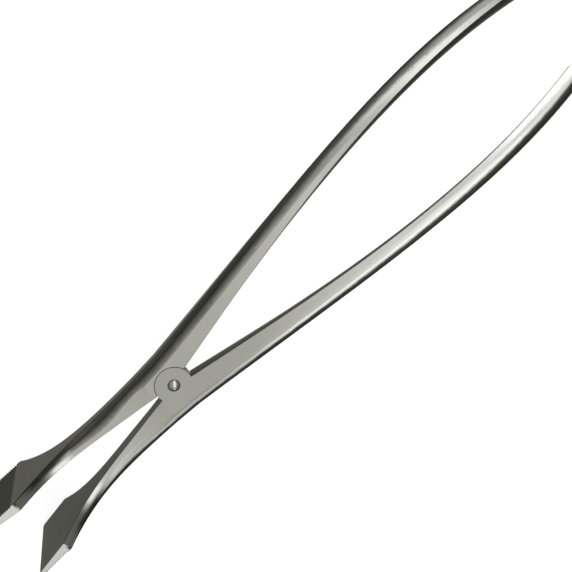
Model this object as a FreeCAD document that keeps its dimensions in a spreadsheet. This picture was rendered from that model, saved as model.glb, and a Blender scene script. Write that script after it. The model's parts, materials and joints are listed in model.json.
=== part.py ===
import FreeCAD, Part
import math
import os

import Sketcher
from FreeCAD import Vector

# A plaster spreader: two like forgings, one turned over, lap-jointed on a riveted pin. Squeezing
# the long handles spreads the two serrated paddles. Each arm is drawn with the jaws shut, with the
# pivot at the origin, the handle towards +X, the jaw towards -X and the arm's outer side at +Y.
# Lengths are in millimetres and angles in degrees.

SIZES = {
    # stance in the photograph
    "rest_angle": 8.6,        # each arm's turn from the jaws shut
    "shut_gap": 0.3,          # between the two jaws when they are shut
    # lap joint
    "thickness": 5.8,         # of the arms at the joint
    "disc_radius": 7.0,
    "recess_play": 0.15,      # round the disc in its recess
    "lap_play": 0.1,          # between the two halves of the lap
    "joint_width": 12.6,      # of the arm beside the disc
    "joint_flat": 1.6,        # how far past the disc the faces stay flat
    # rivet
    "pin_radius": 1.3,
    "pin_play": 0.03,
    "head_radius": 2.0,
    "head_rise": 0.45,        # of the dome above the joint's face
    "head_edge": 0.15,        # of the dome's rim below that face
    "head_play": 0.07,        # between head and countersink
    "sink_radius": 2.35,      # of the countersink at the face
    # jaw shank
    "shank_height": 7.2,
    "taper_power": 1.7,       # of the taper in width
    "flare_start": 36.0,      # where the shank begins to widen
    "shoulder_reach": 65.5,   # where the flare meets the paddle
    # paddle
    "tip_reach": 79.0,
    "paddle_width": 32.0,
    "paddle_root": 3.6,       # thickness at the shoulders
    "paddle_tip": 1.9,
    "corner_radius": 1.0,
    "tooth_pitch": 1.0,
    "tooth_depth": 0.5,
    "tooth_start": 2.3,       # first groove past the shoulder
    "tooth_end": 0.4,         # land left at the tip
    # handle
    "handle_reach": 187.0,
    "handle_root": 0.6,       # inner edge's offset at the pivot
    "splay_angle": 20.8,      # of the handle's inner edge at the joint
    "turn_share": 0.369,      # share of its offset that the inner edge gives back by its end
    "grip_reach": 110.0,      # where the handle has narrowed to its grip
    "grip_width": 6.5,
    "grip_thickness": 5.2,
    "twist_angle": 44.0,      # of the grip's faces at its end
    "inner_bulge": 0.8,       # of the grip's inner wall
    "joint_bulge": 0.2,       # of that wall where the handle leaves the joint
    "nose_radius": 4.6,
    # rounding of the outer side
    "crown_width": 4.6,
    "crown_share": 0.72,      # the most of the width that the crown takes
    "crown_drop": 1.4,
    "grip_crown_drop": 2.0,
    "shoulder_crown": 0.3,    # what is left of the crown at the shoulders
}

JAW_STATIONS = (0.0, 0.25, 0.5, 0.68, 0.85, 1.0)     # from the joint to the shoulder
HANDLE_STATIONS = (0.0, 0.1, 0.27, 0.5, 0.75, 1.0)   # from the joint to the handle's end
CUT_MARGIN = 1.0              # how far cutting profiles reach past what they cut


def make_sheet(doc):
    sheet = doc.addObject("Spreadsheet::Sheet", "Sizes")
    for row, (alias, value) in enumerate(SIZES.items(), start=1):
        cell = "B%d" % row
        sheet.set(cell, str(value))
        sheet.setAlias(cell, alias)
    doc.recompute()
    return sheet


def size(text):
    """Turn a sum of size names into an expression on the sheet."""
    words = sorted(SIZES, key=len, reverse=True)
    parts = text.replace("(", " ( ").replace(")", " ) ").replace(";", " ; ").split()
    return " ".join("Sizes." + part if part in words else part for part in parts)


def number(expression):
    return float(FreeCAD.ActiveDocument.Sizes.evalExpression(expression))


def origin_plane(body, role):
    return next(item for item in body.Origin.OriginFeatures if item.Role == role)


def new_sketch(body, name, role, offset=None, twist=None):
    """Add a sketch on one of the body's own planes, moved along offset and turned by twist."""
    sketch = body.newObject("Sketcher::SketchObject", name)
    sketch.AttachmentSupport = (origin_plane(body, role), [""])
    sketch.MapMode = "FlatFace"
    for axis, expression in (offset or {}).items():
        sketch.setExpression("AttachmentOffset.Base." + axis, expression)
    if twist:
        sketch.AttachmentOffset = FreeCAD.Placement(Vector(), FreeCAD.Rotation(Vector(0, 0, 1), 1))
        sketch.setExpression("AttachmentOffset.Rotation.Angle", twist)
    return sketch


def fix_point(sketch, geometry, point, x=None, y=None):
    """Hold a point at an expression's distance from the sketch's origin."""
    for kind, expression in (("DistanceX", x), ("DistanceY", y)):
        if expression is None:
            continue
        index = sketch.addConstraint(
            Sketcher.Constraint(kind, -1, 1, geometry, point, number(expression)))
        sketch.setExpression("Constraints[%d]" % index, expression)


def arc_between(start, end, axis, value, clockwise):
    """Make the arc from start to end whose centre has the given x or y."""
    span = end - start
    level = (end.Length ** 2 - start.Length ** 2) / 2
    if axis == "x":
        centre = Vector(value, (level - span.x * value) / span.y, 0)
    else:
        centre = Vector((level - span.y * value) / span.x, value, 0)
    first, last = (end, start) if clockwise else (start, end)
    turns = [math.atan2(point.y - centre.y, point.x - centre.x) for point in (first, last)]
    circle = Part.Circle(centre, Vector(0, 0, 1), (start - centre).Length)
    return Part.ArcOfCircle(circle, *turns)


def draw_outline(sketch, corners, arcs=None):
    """Close the corners, pairs of expressions, with lines, or with arcs where arcs names them.

    arcs maps an edge's place to its centre's axis, that axis' expression and the turn's sense.
    """
    arcs = arcs or {}
    points = [Vector(number(x), number(y), 0) for x, y in corners]
    ends = []
    for place, start in enumerate(points):
        end = points[(place + 1) % len(points)]
        if place in arcs:
            axis, expression, clockwise = arcs[place]
            arc = arc_between(start, end, axis, number(expression), clockwise)
            index = sketch.addGeometry(arc, False)
            ends.append((index, 2, 1) if clockwise else (index, 1, 2))
            fix_point(sketch, index, 3, **{axis: expression})
        else:
            index = sketch.addGeometry(Part.LineSegment(start, end), False)
            ends.append((index, 1, 2))
    for place, (index, start, end) in enumerate(ends):
        following, next_start, _ = ends[(place + 1) % len(ends)]
        sketch.addConstraint(
            Sketcher.Constraint("Coincident", index, end, following, next_start))
        fix_point(sketch, index, start, *corners[place])


def draw_circle(sketch, radius):
    circle = Part.Circle(Vector(), Vector(0, 0, 1), number(radius))
    index = sketch.addGeometry(circle, False)
    sketch.addConstraint(Sketcher.Constraint("Coincident", index, 3, -1, 1))
    ring = sketch.addConstraint(Sketcher.Constraint("Radius", index, circle.Radius))
    sketch.setExpression("Constraints[%d]" % ring, radius)


def add_section(body, name, section):
    """Draw one cross-section of the arm: flat faces, a crowned outer side, a wall within."""
    half, tall = section["half_width"], section["half_height"]
    crown = "%s - (%s)" % (half, section["crown"])
    wall = "%s - (%s)" % (tall, section["drop"])
    corners = [
        ("-(%s)" % half, tall),
        ("-(%s)" % half, "-(%s)" % tall),
        (crown, "-(%s)" % tall),
        (half, "-(%s)" % wall),
        (half, wall),
        (crown, tall),
    ]
    arcs = {2: ("x", crown, False), 4: ("x", crown, False)}
    if "bulge" in section:
        bulge = section["bulge"]
        reach = "((%s) ^ 2 + (%s) ^ 2) / (2 * (%s))" % (tall, bulge, bulge)
        arcs[0] = ("x", "-(%s) - (%s) + %s" % (half, bulge, reach), False)
    offset = {"x": section["centre"], "z": section["reach"]}
    sketch = new_sketch(body, name, "YZ_Plane", offset, section.get("twist"))
    draw_outline(sketch, corners, arcs)
    return sketch


def joint_edge():
    """Give the reach up to which the arm's faces stay flat and parallel."""
    return size("( disc_radius + joint_flat )")


def reaches(stations, end):
    return ["(%s + (%s - %s) * %g)" % (joint_edge(), size(end), joint_edge(), share)
            for share in stations]


def jaw_section(reach):
    """Give the jaw's section: it tapers in width, and flares in height along an arc."""
    narrowed = "(1 - %s / %s) ^ %s" % (reach, size("shoulder_reach"), size("taper_power"))
    width = "%s + %s * %s" % (
        size("paddle_root"), size("( joint_width - paddle_root )"), narrowed)
    flat = joint_edge()
    rise = "min(1; max(0; (%s - %s) / (%s - %s))) ^ 2" % (
        reach, flat, size("flare_start"), flat)
    run = size("( shoulder_reach - flare_start )")
    climb = size("( paddle_width / 2 - shank_height / 2 )")
    radius = "((%s ^ 2 + %s ^ 2) / (2 * %s))" % (run, climb, climb)
    past = "max(0; %s - %s)" % (reach, size("flare_start"))
    flare = "%s - sqrt(%s ^ 2 - %s ^ 2)" % (radius, radius, past)
    tall = "%s + (%s) * %s + %s" % (
        size("thickness / 2"), size("shank_height / 2 - thickness / 2"), rise, flare)
    fade = "(1 - %s / %s)" % (past, run)
    crown = "min(%s; %s * (%s)) * %s + %s * (1 - %s)" % (
        size("crown_width"), size("crown_share"), width, fade, size("shoulder_crown"), fade)
    drop = "%s * %s + %s * (1 - %s)" % (
        size("crown_drop"), fade, size("shoulder_crown / 2"), fade)
    return {
        "reach": "-(%s)" % reach,
        "centre": "%s + (%s) / 2" % (size("shut_gap / 2"), width),
        "half_width": "(%s) / 2" % width,
        "half_height": "(%s)" % tall,
        "crown": crown,
        "drop": drop,
    }


def handle_inner(reach):
    """Follow the handle's inner edge: it leaves at the splay and turns back towards its end."""
    bend = "(%s - %s * (%s) ^ 3 / %s ^ 2)" % (
        reach, size("turn_share"), reach, size("handle_reach"))
    return "%s + tan(%s * 1 deg) * %s" % (size("handle_root"), size("splay_angle"), bend)


def handle_section(reach):
    """Give the handle's section: it narrows to the grip while its faces twist.

    At the pivot its outer edge is the jaw's.
    """
    left = "max(0; 1 - %s / %s)" % (reach, size("grip_reach"))
    width = "%s + %s * (%s) ^ 2" % (
        size("grip_width"),
        size("( joint_width + shut_gap / 2 - handle_root - grip_width )"), left)
    flat = joint_edge()
    along = "max(0; (%s - %s) / (%s - %s))" % (reach, flat, size("handle_reach"), flat)
    tall = "(%s + %s * %s)" % (
        size("thickness / 2"), size("( grip_thickness / 2 - thickness / 2 )"), along)
    return {
        "reach": reach,
        "centre": "%s + (%s) / 2" % (handle_inner(reach), width),
        "half_width": "(%s) / 2" % width,
        "half_height": tall,
        "crown": "min(%s; %s * (%s))" % (size("crown_width"), size("crown_share"), width),
        "drop": "%s + %s * %s" % (
            size("crown_drop"), size("( grip_crown_drop - crown_drop )"), along),
        "bulge": "%s + %s * min(1; 2 * %s)" % (
            size("joint_bulge"), size("( inner_bulge - joint_bulge )"), along),
        "twist": "-%s * %s" % (size("twist_angle"), along),
    }


def add_loft(body, name, sections):
    sketches = [add_section(body, "%s_%d" % (name, place), section)
                for place, section in enumerate(sections)]
    loft = body.newObject("PartDesign::AdditiveLoft", name)
    loft.Profile = sketches[0]
    loft.Sections = sketches[1:]
    return loft


def add_nose(body):
    """Round the handle's end by turning away what lies outside a ball."""
    end = size("handle_reach")
    ball = size("nose_radius")
    outside = "%s + %g" % (ball, CUT_MARGIN)
    centre = "%s + (%s) / 2" % (handle_inner(end), size("grip_width"))
    sketch = new_sketch(body, "nose_outline", "XY_Plane", {"y": centre})
    corners = [
        ("%s - %s" % (end, ball), ball),
        (end, "0"),
        ("%s + %g" % (end, CUT_MARGIN), "0"),
        ("%s + %g" % (end, CUT_MARGIN), outside),
        ("%s - %s" % (end, ball), outside),
    ]
    draw_outline(sketch, corners, {0: ("y", "0", True)})
    nose = body.newObject("PartDesign::Groove", "nose")
    nose.Profile = sketch
    nose.ReferenceAxis = (sketch, ["H_Axis"])
    nose.Angle = 360


def add_paddle(body):
    """Pad the paddle's plate with its rounded corners, then taper its outer face."""
    near, far = size("-1 * shoulder_reach"), size("-1 * tip_reach")
    high, round_off = size("paddle_width / 2"), size("corner_radius")
    corners = [
        (near, high),
        ("%s + %s" % (far, round_off), high),
        (far, "%s - %s" % (high, round_off)),
        (far, "-(%s - %s)" % (high, round_off)),
        ("%s + %s" % (far, round_off), "-(%s)" % high),
        (near, "-(%s)" % high),
    ]
    inner_corner = "%s + %s" % (far, round_off)
    outline = new_sketch(body, "paddle_outline", "XZ_Plane", {"z": size("-1 * shut_gap / 2")})
    draw_outline(outline, corners, {1: ("x", inner_corner, False), 3: ("x", inner_corner, False)})
    plate = body.newObject("PartDesign::Pad", "paddle")
    plate.Profile = outline
    plate.Reversed = True
    plate.setExpression("Length", size("paddle_root"))
    taper = new_sketch(body, "paddle_taper", "XY_Plane")
    root, tip = size("shut_gap / 2 + paddle_root"), size("shut_gap / 2 + paddle_tip")
    draw_outline(taper, [
        (near, root),
        (far, tip),
        ("%s - %g" % (far, CUT_MARGIN), tip),
        ("%s - %g" % (far, CUT_MARGIN), "%s + %g" % (root, CUT_MARGIN)),
        (near, "%s + %g" % (root, CUT_MARGIN)),
    ])
    wedge = body.newObject("PartDesign::Pocket", "paddle_wedge")
    wedge.Profile = taper
    cut_through(wedge)


def cut_through(pocket):
    pocket.Type = "ThroughAll"
    pocket.SideType = "Symmetric"


def add_teeth(body):
    """Cut one groove across the paddle's outer face and repeat it towards the tip."""
    slope = size("( paddle_root - paddle_tip ) / ( tip_reach - shoulder_reach )")
    sketch = new_sketch(body, "tooth_groove", "XY_Plane", {
        "x": size("-1 * shoulder_reach"),
        "y": size("shut_gap / 2 + paddle_root"),
    }, "180 deg + atan(%s)" % slope)
    start, half = size("tooth_start"), size("tooth_pitch / 2")
    draw_outline(sketch, [
        ("%s - %s" % (start, half), "0"),
        ("%s - %s" % (start, half), size("-1 * tooth_depth")),
        ("%s + %s" % (start, half), size("-1 * tooth_depth")),
        ("%s + %s" % (start, half), "0"),
        (start, size("tooth_depth")),
    ])
    groove = body.newObject("PartDesign::Pocket", "tooth")
    groove.Profile = sketch
    cut_through(groove)
    face = "sqrt(%s ^ 2 + %s ^ 2)" % (
        size("( tip_reach - shoulder_reach )"), size("( paddle_root - paddle_tip )"))
    gaps = "floor((%s - %s) / %s)" % (
        face, size("( tooth_start + tooth_end + tooth_pitch / 2 )"), size("tooth_pitch"))
    teeth = body.newObject("PartDesign::LinearPattern", "teeth")
    teeth.Originals = [groove]
    teeth.Direction = (sketch, ["H_Axis"])
    teeth.setExpression("Length", "%s * %s" % (gaps, size("tooth_pitch")))
    teeth.setExpression("Occurrences", "%s + 1" % gaps)
    return teeth


def add_joint(body):
    """Add the disc in the lower half of the lap, and cut the recess, bore and countersink."""
    disc_outline = new_sketch(body, "disc_outline", "XY_Plane", {"z": size("-1 * thickness / 2")})
    draw_circle(disc_outline, size("disc_radius"))
    disc = body.newObject("PartDesign::Pad", "disc")
    disc.Profile = disc_outline
    disc.setExpression("Length", size("thickness / 2 - lap_play / 2"))
    recess_outline = new_sketch(body, "recess_outline", "XY_Plane", {"z": size("-1 * lap_play / 2")})
    draw_circle(recess_outline, size("disc_radius + recess_play"))
    recess = body.newObject("PartDesign::Pocket", "recess")
    recess.Profile = recess_outline
    recess.Reversed = True
    recess.setExpression("Length", size("thickness / 2 + shank_height"))
    bore, sink = size("( pin_radius + pin_play )"), size("sink_radius")
    face = size("thickness / 2")
    outline = new_sketch(body, "bore_outline", "XZ_Plane")
    draw_outline(outline, [
        ("0", "-(%s + %g)" % (face, CUT_MARGIN)),
        (sink, "-(%s + %g)" % (face, CUT_MARGIN)),
        (sink, "-(%s)" % face),
        (bore, "-(%s) + %s - %s" % (face, sink, bore)),
        (bore, "0"),
        ("0", "0"),
    ])
    hole = body.newObject("PartDesign::Groove", "bore")
    hole.Profile = outline
    hole.ReferenceAxis = (outline, ["V_Axis"])
    hole.Angle = 360


def make_arm(doc, label):
    body = doc.addObject("PartDesign::Body", label)
    shank = [jaw_section(reach) for reach in reaches(JAW_STATIONS, "shoulder_reach")]
    handle = [handle_section(reach) for reach in reaches(HANDLE_STATIONS, "handle_reach")]
    add_loft(body, "jaw_joint", [jaw_section("0"), shank[0]])
    add_loft(body, "handle_joint", [handle_section("0"), handle[0]])
    add_loft(body, "shank", shank)
    add_loft(body, "handle", handle)
    add_nose(body)
    add_paddle(body)
    teeth = add_teeth(body)
    doc.recompute()
    body.Tip = teeth
    add_joint(body)
    return body


def make_rivet(doc):
    """Turn the pin with a flared, domed head at each end, seated in the countersinks."""
    body = doc.addObject("PartDesign::Body", "pivot_rivet")
    face, pin, head = size("thickness / 2"), size("pin_radius"), size("head_radius")
    top = size("( thickness / 2 + head_rise )")
    rim = size("( thickness / 2 - head_edge )")
    flare_top = size("( thickness / 2 - ( sink_radius - head_play - head_radius ) )")
    flare_foot = size("( thickness / 2 - ( sink_radius - head_play - pin_radius ) )")
    outline = new_sketch(body, "rivet_outline", "XZ_Plane")
    draw_outline(outline, [
        ("0", "-" + top),
        (head, "-" + rim),
        (head, "-" + flare_top),
        (pin, "-" + flare_foot),
        (pin, flare_foot),
        (head, flare_top),
        (head, rim),
        ("0", top),
    ], {0: ("x", "0", False), 6: ("x", "0", False)})
    turned = body.newObject("PartDesign::Revolution", "rivet")
    turned.Profile = outline
    turned.ReferenceAxis = (outline, ["V_Axis"])
    turned.Angle = 360
    return body


def stand(body, turn):
    """Stand the part on the paddles' lower edges, with its box's middle over the origin."""
    cosine, sine = "cos(%s * 1 deg)" % size("rest_angle"), "sin(%s * 1 deg)" % size("rest_angle")
    tip = "(%s * %s - %s * %s)" % (size("tip_reach"), cosine, size("shut_gap / 2"), sine)
    ball = "(%s - %s)" % (size("handle_reach"), size("nose_radius"))
    side = "(%s + (%s) / 2)" % (handle_inner(size("handle_reach")), size("grip_width"))
    end = "(%s * %s + %s * %s + %s)" % (ball, cosine, side, sine, size("nose_radius"))
    body.setExpression("Placement", "placement(vector((%s - %s) / 2; 0; %s); %s)" % (
        tip, end, size("paddle_width / 2"), turn))


def check(doc, bodies):
    for item in doc.Objects:
        if "Invalid" in item.State or "Error" in item.State:
            raise RuntimeError("%s failed: %s" % (item.Name, item.State))
    for body in bodies:
        if body.Shape.isNull() or not body.Shape.isValid():
            raise RuntimeError("%s has no valid shape" % body.Label)


def main():
    doc = FreeCAD.newDocument("PlasterSpreader")
    make_sheet(doc)
    left = make_arm(doc, "left_arm")
    right = make_arm(doc, "right_arm")
    rivet = make_rivet(doc)
    angle = size("rest_angle")
    stand(left, "rotationz(-%s)" % angle)
    stand(right, "rotationz(%s) * rotationx(180)" % angle)
    stand(rivet, "rotationz(0)")
    bodies = [left, right, rivet]
    doc.recompute()
    check(doc, bodies)
    os.makedirs("parts", exist_ok=True)
    for body in bodies:
        body.Shape.exportStep("parts/%s.step" % body.Label)
        box = body.Shape.BoundBox
        print("%s volume %.1f, solids %d, x %.2f to %.2f, y %.2f to %.2f, z %.2f to %.2f" % (
            body.Label, body.Shape.Volume, len(body.Shape.Solids), box.XMin, box.XMax,
            box.YMin, box.YMax, box.ZMin, box.ZMax))


main()
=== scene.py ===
import bpy
import json
from math import cos, pi, radians, sin
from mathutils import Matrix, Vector

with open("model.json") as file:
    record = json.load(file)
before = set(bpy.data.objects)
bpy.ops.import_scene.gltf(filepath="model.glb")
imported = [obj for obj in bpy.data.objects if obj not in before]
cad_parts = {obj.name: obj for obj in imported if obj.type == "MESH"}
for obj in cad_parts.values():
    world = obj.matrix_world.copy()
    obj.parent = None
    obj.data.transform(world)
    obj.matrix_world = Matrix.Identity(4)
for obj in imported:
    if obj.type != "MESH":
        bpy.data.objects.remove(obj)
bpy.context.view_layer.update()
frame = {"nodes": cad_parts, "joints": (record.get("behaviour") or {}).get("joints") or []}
nodes = frame["nodes"]
pivot = Vector(frame["joints"][0]["pos_m"])
print("frame loaded:", ", ".join(sorted(nodes)))


class Wire:  # a node's output that takes part in sums
    def __init__(self, tree, socket=None):
        self.tree, self.socket = tree, socket

    def node(self, kind, inputs=None, out=0, stops=(), **settings):
        made = self.tree.nodes.new(kind)
        for name, value in settings.items():
            setattr(made, name, value)
        if stops:
            setStops(made.color_ramp.elements, stops)
        for key, value in (inputs or {}).items():
            if isinstance(value, Wire):
                self.tree.links.new(value.socket, made.inputs[key])
            else:
                made.inputs[key].default_value = value
        return Wire(self.tree, made.outputs[out])

    def also(self, name):  # another output of the same node
        return Wire(self.tree, self.socket.node.outputs[name])

    def maths(self, operation, *others, clamp=False):
        inputs = dict(enumerate((self,) + others))
        return self.node("ShaderNodeMath", inputs, operation=operation, use_clamp=clamp)

    def __add__(self, other):
        return self.maths("ADD", other)

    def __sub__(self, other):
        return self.maths("SUBTRACT", other)

    def __rsub__(self, other):
        return self.node("ShaderNodeMath", {0: other, 1: self}, operation="SUBTRACT")

    def __mul__(self, other):
        return self.maths("MULTIPLY", other)

    __radd__, __rmul__ = __add__, __mul__

    def between(self, low, high, smooth=True):  # 0 at low, 1 at high
        return self.node("ShaderNodeMapRange", {0: self, 1: low, 2: high},
                         interpolation_type="SMOOTHSTEP" if smooth else "LINEAR")

    def within(self, rise, full, ebb, gone):  # 1 from full to ebb
        return self.between(rise, full) * (1 - self.between(ebb, gone))

    def blend(self, first, second):  # colours, by this share
        return self.node("ShaderNodeMix", {0: self, 6: first, 7: second}, out=2, data_type="RGBA")

    def shades(self, stops):  # steel's painted reflection and shade at each angle, from -90 to 90 degrees
        marks = [(angle / 180 + 0.5, steelGrey(shade)) for angle, shade in stops]
        return self.node("ShaderNodeValToRGB", {0: self * (1 / pi) + 0.5}, stops=marks)


def setStops(points, stops):  # a new ramp has two points, at its ends
    for spot, colour in stops[1:-1]:
        points.new(spot)
    for point, (spot, colour) in zip(points, stops):
        point.position, point.color = spot, colour


greyTint = {"green": 1.005, "blueInDark": 0.83, "blueInPale": 0.95, "paleFrom": 0.5}


def steelGrey(shade, tint=greyTint):  # the darker, the more olive
    pale = min(1, shade / tint["paleFrom"])
    blue = tint["blueInDark"] + (tint["blueInPale"] - tint["blueInDark"]) * pale
    return shade, shade * tint["green"], shade * blue, 1


def newMaterial(name):
    material = bpy.data.materials.new(name)
    material.use_nodes = True
    place = Wire(material.node_tree).node("ShaderNodeTexCoord", out="Object")
    return material, material.node_tree.nodes["Principled BSDF"], place


def plug(shader, **inputs):
    for name, value in inputs.items():
        socket = shader.inputs[name.replace("_", " ")]
        if isinstance(value, Wire):
            value.tree.links.new(value.socket, socket)
        else:
            socket.default_value = value


# satin steel, with painted highlights and shade; reach is the way past the pivot along X, negative towards
# the paddles
armSteel = {
    "turn": 8.6,  # degrees between an arm and the X axis
    "twist": 44, "twistReach": (0.0086, 0.187),  # degrees, and where the handle's twist starts and ends
    "gripReach": (0.02, 0.165), "jawReach": (-0.008, -0.052), "paddleReach": (-0.0645, -0.0657),
    "crest": (-0.2, -0.1, 0.1, 0.3),  # radians either side of the flat face
    # painted highlight (glint) and painted shade (flare, heel), by how far the surface turns towards the
    # joint
    "glint": (0.14, 0.25, 0.33, 0.42), "glintShare": 0.7, "glintShade": 0.85,
    "flare": (0.36, 0.5), "flareShare": 0.75, "flareShade": 0.02,
    "heel": (0.55, 0.67), "heelShade": 0.2,
    # painted shade on the jaw's outer part where it flares
    "duskAcross": (0.0012, 0.003), "duskReach": (-0.036, -0.05), "duskTop": (-30, 50), "duskShade": 0.02,
    # painted light on the recess walls: each recess fades in from the first size to the second and ends at
    # the third
    "recessAcross": (0.001, 0.002, 0.0076), "recessReach": (-0.0067, -0.0062, 0.004),
    "recessWall": (0.5, 0.9), "recessShade": 0.9,
    "edgeRadius": 0.00035, "grazing": (0.6, 0.6, 0.57, 1),
    "grainAcross": 5200, "grainAlong": 90, "grainShade": 0.16, "grainRoughness": 0.1,
    "cloudSize": 55, "cloudShade": 0.12, "cloudRoughness": 0.12, "roughness": 0.3,
    "wear": 0.06, "wearShade": 0.1, "bumpShare": 0.5, "bumpHeight": 0.000012,
}
# painted reflections and shade round the arm's section, set apart for each arm and paler towards the grip:
# -90 inner wall, 0 flat face, 90 outer wall
leftSteel = {
    "side": 1,
    "paddle": ((-90, 0.15), (-40, 0.15), (-12, 0.54), (12, 0.54), (40, 0.12), (90, 0.035)),
    "jaw": ((-90, 0.15), (-30, 0.12), (-8, 0.4), (0, 0.36), (6, 0.2),
            (13, 0.08), (18, 0.02), (25, 0.07), (90, 0.07)),
    "joint": ((-90, 0.05), (-30, 0.05), (-8, 0.33), (0, 0.32), (4, 0.2),
              (9, 0.09), (21, 0.014), (30, 0.07), (90, 0.09)),
    "grip": ((-90, 0.04), (-30, 0.04), (-10, 0.6), (0, 0.58), (13, 0.4),
             (22, 0.15), (32, 0.025), (40, 0.015), (60, 0.06)),
}
rightSteel = {
    "side": -1,
    "paddle": ((-90, 0.035), (-40, 0.08), (-12, 0.5), (12, 0.5), (40, 0.12), (90, 0.15)),
    "jaw": ((-90, 0.04), (-30, 0.04), (-8, 0.42), (0, 0.45), (12, 0.75),
            (17, 0.7), (22, 0.08), (28, 0.012), (90, 0.15)),
    "joint": ((-90, 0.045), (-30, 0.04), (-8, 0.28), (0, 0.29), (11, 0.33),
              (17, 0.8), (20, 0.6), (25, 0.04), (90, 0.12)),
    "grip": ((-90, 0.05), (-20, 0.06), (-8, 0.6), (0, 0.76), (17, 0.88),
             (22, 0.5), (27, 0.05), (38, 0.02), (90, 0.04)),
}


def armPlace(place, side, look):  # where a point lies on the arm, and how its surface has turned
    split = place.node("ShaderNodeSeparateXYZ", {0: place})
    reach = split - pivot.x
    rounded = place.node("ShaderNodeBevel", {"Radius": look["edgeRadius"]}, samples=6)
    facing = rounded.node("ShaderNodeSeparateXYZ", {0: rounded})
    sideways, upright = facing.also("Y"), facing.also("Z")
    twist = reach.between(*look["twistReach"], smooth=False) * radians(look["twist"])
    outward = (sideways * twist.maths("COSINE") - upright * twist.maths("SINE")) * side
    square = (sideways * twist.maths("SINE") + upright * twist.maths("COSINE")).maths("ABSOLUTE")
    return {"reach": reach, "across": split.also("Y"), "rounded": rounded, "facing": facing,
            "angle": outward.maths("ARCTAN2", square)}


def jawLight(shade, jawShare, at, look):
    # a painted highlight on the jaw's top where it starts to flare, then painted shade further on
    crest = at["angle"].within(*look["crest"])
    glint = at["facing"].within(*look["glint"]) * crest * jawShare
    shade = (glint * look["glintShare"]).blend(shade, steelGrey(look["glintShade"]))
    flare = at["facing"].between(*look["flare"]) * jawShare
    shade = (flare * look["flareShare"]).blend(shade, steelGrey(look["flareShade"]))
    # painted shade makes its outer part darker still
    apart = at["across"].maths("ABSOLUTE") - at["reach"].maths("ABSOLUTE") * sin(radians(look["turn"]))
    low, high = map(radians, look["duskTop"])
    top = at["angle"].maths("GREATER_THAN", low) * at["angle"].maths("LESS_THAN", high)
    dusk = apart.between(*look["duskAcross"]) * at["reach"].between(*look["duskReach"]) * top
    shade = dusk.blend(shade, steelGrey(look["duskShade"]))
    # steep crests, here and at the handle's nose, are painted a middle grey shade
    heel = at["facing"].between(*look["heel"]) * crest
    return heel.blend(shade, steelGrey(look["heelShade"]))


def recessLight(shade, at, look):  # painted light: the walls round the disc's rim inside the recess are painted pale
    share = at["angle"].maths("ABSOLUTE").between(*look["recessWall"])
    for way in ("across", "reach"):
        start, full, end = look["recess" + way.capitalize()]
        share = share * at[way].between(start, full) * at[way].maths("LESS_THAN", end)
    return share.blend(shade, steelGrey(look["recessShade"]))


def steelArm(name, own, look=armSteel):
    material, shader, place = newMaterial(name)
    at = armPlace(place, own["side"], look)
    angle, reach = at["angle"], at["reach"]
    gripShare, jawShare = reach.between(*look["gripReach"]), reach.between(*look["jawReach"])
    shade = gripShare.blend(angle.shades(own["joint"]), angle.shades(own["grip"]))
    shade = jawShare.blend(shade, angle.shades(own["jaw"]))
    shade = jawLight(shade, jawShare, at, look)
    shade = reach.between(*look["paddleReach"]).blend(shade, angle.shades(own["paddle"]))
    shade = recessLight(shade, at, look)
    # grain drawn out along the arm, and slow clouds
    along = place.node("ShaderNodeMapping", {
        "Vector": place,
        "Rotation": (0, 0, radians(own["side"] * look["turn"])),
        "Scale": (look["grainAlong"], look["grainAcross"], look["grainAcross"])})
    grain = along.node("ShaderNodeTexNoise", {"Vector": along, "Scale": 1, "Detail": 3})
    clouds = place.node("ShaderNodeTexNoise", {"Vector": place, "Scale": look["cloudSize"], "Detail": 2})
    streaks, drift = grain - 0.5, clouds - 0.5
    wear = look["wear"] + streaks * look["grainShade"] + drift * look["cloudShade"]
    shade = wear.maths("MAXIMUM", 0).blend(shade, steelGrey(look["wearShade"]))
    rough = look["roughness"] + drift * look["cloudRoughness"] + streaks * look["grainRoughness"]
    bump = at["rounded"].node("ShaderNodeBump", {
        "Height": grain, "Normal": at["rounded"],
        "Strength": look["bumpShare"], "Distance": look["bumpHeight"]})
    plug(shader, Base_Color=shade, Metallic=1.0, Roughness=rough, Normal=bump, Specular_Tint=look["grazing"])
    return material


# painted reflection on the rivet: a dark skirt of painted shade round a grey dome crossed by a painted
# highlight streak
rivetSteel = {
    "dome": 0.22, "skirt": 0.09, "domeUpright": (0.82, 0.88),  # the dome is where the face looks up this far
    "streak": 0.62, "streakWay": (0.75, -0.66, 0), "streakLean": (-0.12, 0.02, 0.14, 0.26),
    "roughness": 0.26, "cloudSize": 900, "cloudRoughness": 0.15,
}


def steelRivet(name, look=rivetSteel):
    material, shader, place = newMaterial(name)
    facing = place.also("Normal")
    upright = facing.node("ShaderNodeSeparateXYZ", {0: facing}).also("Z")
    lean = facing.node("ShaderNodeVectorMath", {0: facing, 1: look["streakWay"]}, out="Value",
                       operation="DOT_PRODUCT")
    top = lean.within(*look["streakLean"]).blend(steelGrey(look["dome"]), steelGrey(look["streak"]))
    dome = upright.maths("ABSOLUTE").between(*look["domeUpright"])
    clouds = place.node("ShaderNodeTexNoise", {"Vector": place, "Scale": look["cloudSize"], "Detail": 2})
    plug(shader, Base_Color=dome.blend(steelGrey(look["skirt"]), top), Metallic=1.0,
         Roughness=look["roughness"] + (clouds - 0.5) * look["cloudRoughness"])
    return material


def dress(node, material):
    slots = node.data.materials
    slots.clear()
    slots.append(material)


dress(nodes["left_arm"], steelArm("steelLeft", leftSteel))
dress(nodes["right_arm"], steelArm("steelRight", rightSteel))
dress(nodes["pivot_rivet"], steelRivet("steelRivet"))
print("steel dressed")

# the white table under the tool, which takes a faint shadow
table = {"size": 6, "colour": (0.4, 0.4, 0.4, 1), "lift": 0.8}


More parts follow.
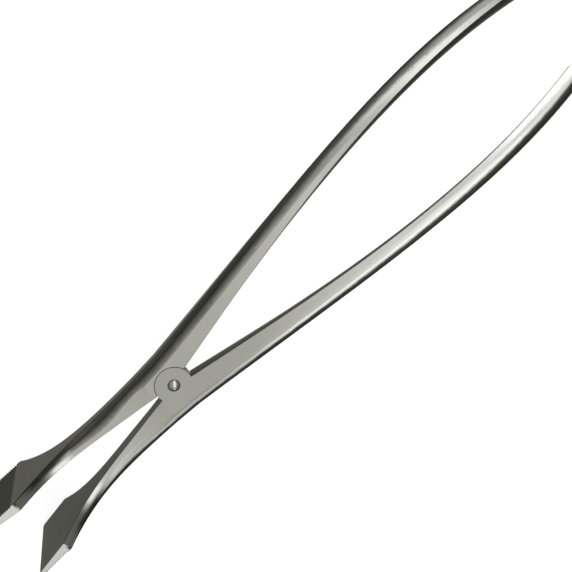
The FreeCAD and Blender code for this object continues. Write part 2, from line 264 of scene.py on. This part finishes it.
def makeTable(look=table):
    bpy.ops.mesh.primitive_plane_add(size=look["size"], location=(0, 0, 0))
    board = bpy.context.object
    board.name = "table"
    material, shader, place = newMaterial("tableWhite")
    rays = place.node("ShaderNodeLightPath", out="Is Camera Ray")
    seen = (rays + rays.also("Is Glossy Ray")).maths("ADD", rays.also("Is Transmission Ray"), clamp=True)
    glow = place.node("ShaderNodeEmission", {"Strength": look["lift"]})
    dark = place.node("ShaderNodeEmission", {"Strength": 0})
    lifted = place.node("ShaderNodeMixShader", {0: seen, 1: dark, 2: glow})
    plug(shader, Base_Color=look["colour"], Roughness=1.0, Specular_IOR_Level=0.0)
    total = place.node("ShaderNodeAddShader", {0: Wire(place.tree, shader.outputs[0]), 1: lifted})
    place.tree.links.new(total.socket, place.tree.nodes["Material Output"].inputs["Surface"])
    board.data.materials.append(material)


makeTable()
print("table laid")

# lamps: azimuth from +X, elevation, distance, size, and the brightness of the panel itself
lamps = {
    "overhead": {"azimuth": 238, "elevation": 84, "distance": 0.9, "size": (1.3, 1.3), "bright": 0.7},
    "gripSide": {"azimuth": 64, "elevation": 33, "distance": 0.65, "size": (0.34, 0.26), "bright": 1.3},
}


def hangLamp(name, setting):
    turn, rise = radians(setting["azimuth"]), radians(setting["elevation"])
    way = Vector((cos(rise) * cos(turn), cos(rise) * sin(turn), sin(rise)))
    wide, high = setting["size"]
    panel = bpy.data.lights.new(name, "AREA")
    panel.shape = "RECTANGLE"
    panel.size, panel.size_y = wide, high
    panel.energy = setting["bright"] * pi * wide * high
    lamp = bpy.data.objects.new(name, panel)
    lamp.location = way * setting["distance"]
    lamp.rotation_euler = way.to_track_quat("Z", "Y").to_euler()
    bpy.context.scene.collection.objects.link(lamp)


for name, setting in lamps.items():
    hangLamp(name, setting)

room = {"colour": (1, 1, 1, 1), "bright": 0.6}


def lightRoom(look=room):
    world = bpy.data.worlds.new("room")
    world.use_nodes = True
    walls = world.node_tree.nodes["Background"]
    walls.inputs["Color"].default_value = look["colour"]
    walls.inputs["Strength"].default_value = look["bright"]
    bpy.context.scene.world = world
    bpy.context.scene.view_settings.view_transform = "Standard"


lightRoom()
print("lamps hung")

# camera: place in metres, turn in degrees, as the photograph was taken
shot = {
    "place": (-0.00554, 0.09962, 0.29383), "turn": (-14.642, -14.127, -41.363),
    "lens": 50.53, "sensor": 36, "nearest": 0.01,
}


def setCamera(look=shot):
    lens = bpy.data.cameras.new("shot")
    lens.lens, lens.sensor_width = look["lens"], look["sensor"]
    lens.clip_start = look["nearest"]
    viewer = bpy.data.objects.new("shot", lens)
    viewer.location = look["place"]
    viewer.rotation_euler = [radians(angle) for angle in look["turn"]]
    bpy.context.scene.collection.objects.link(viewer)
    bpy.context.scene.camera = viewer


setCamera()
print("camera set")
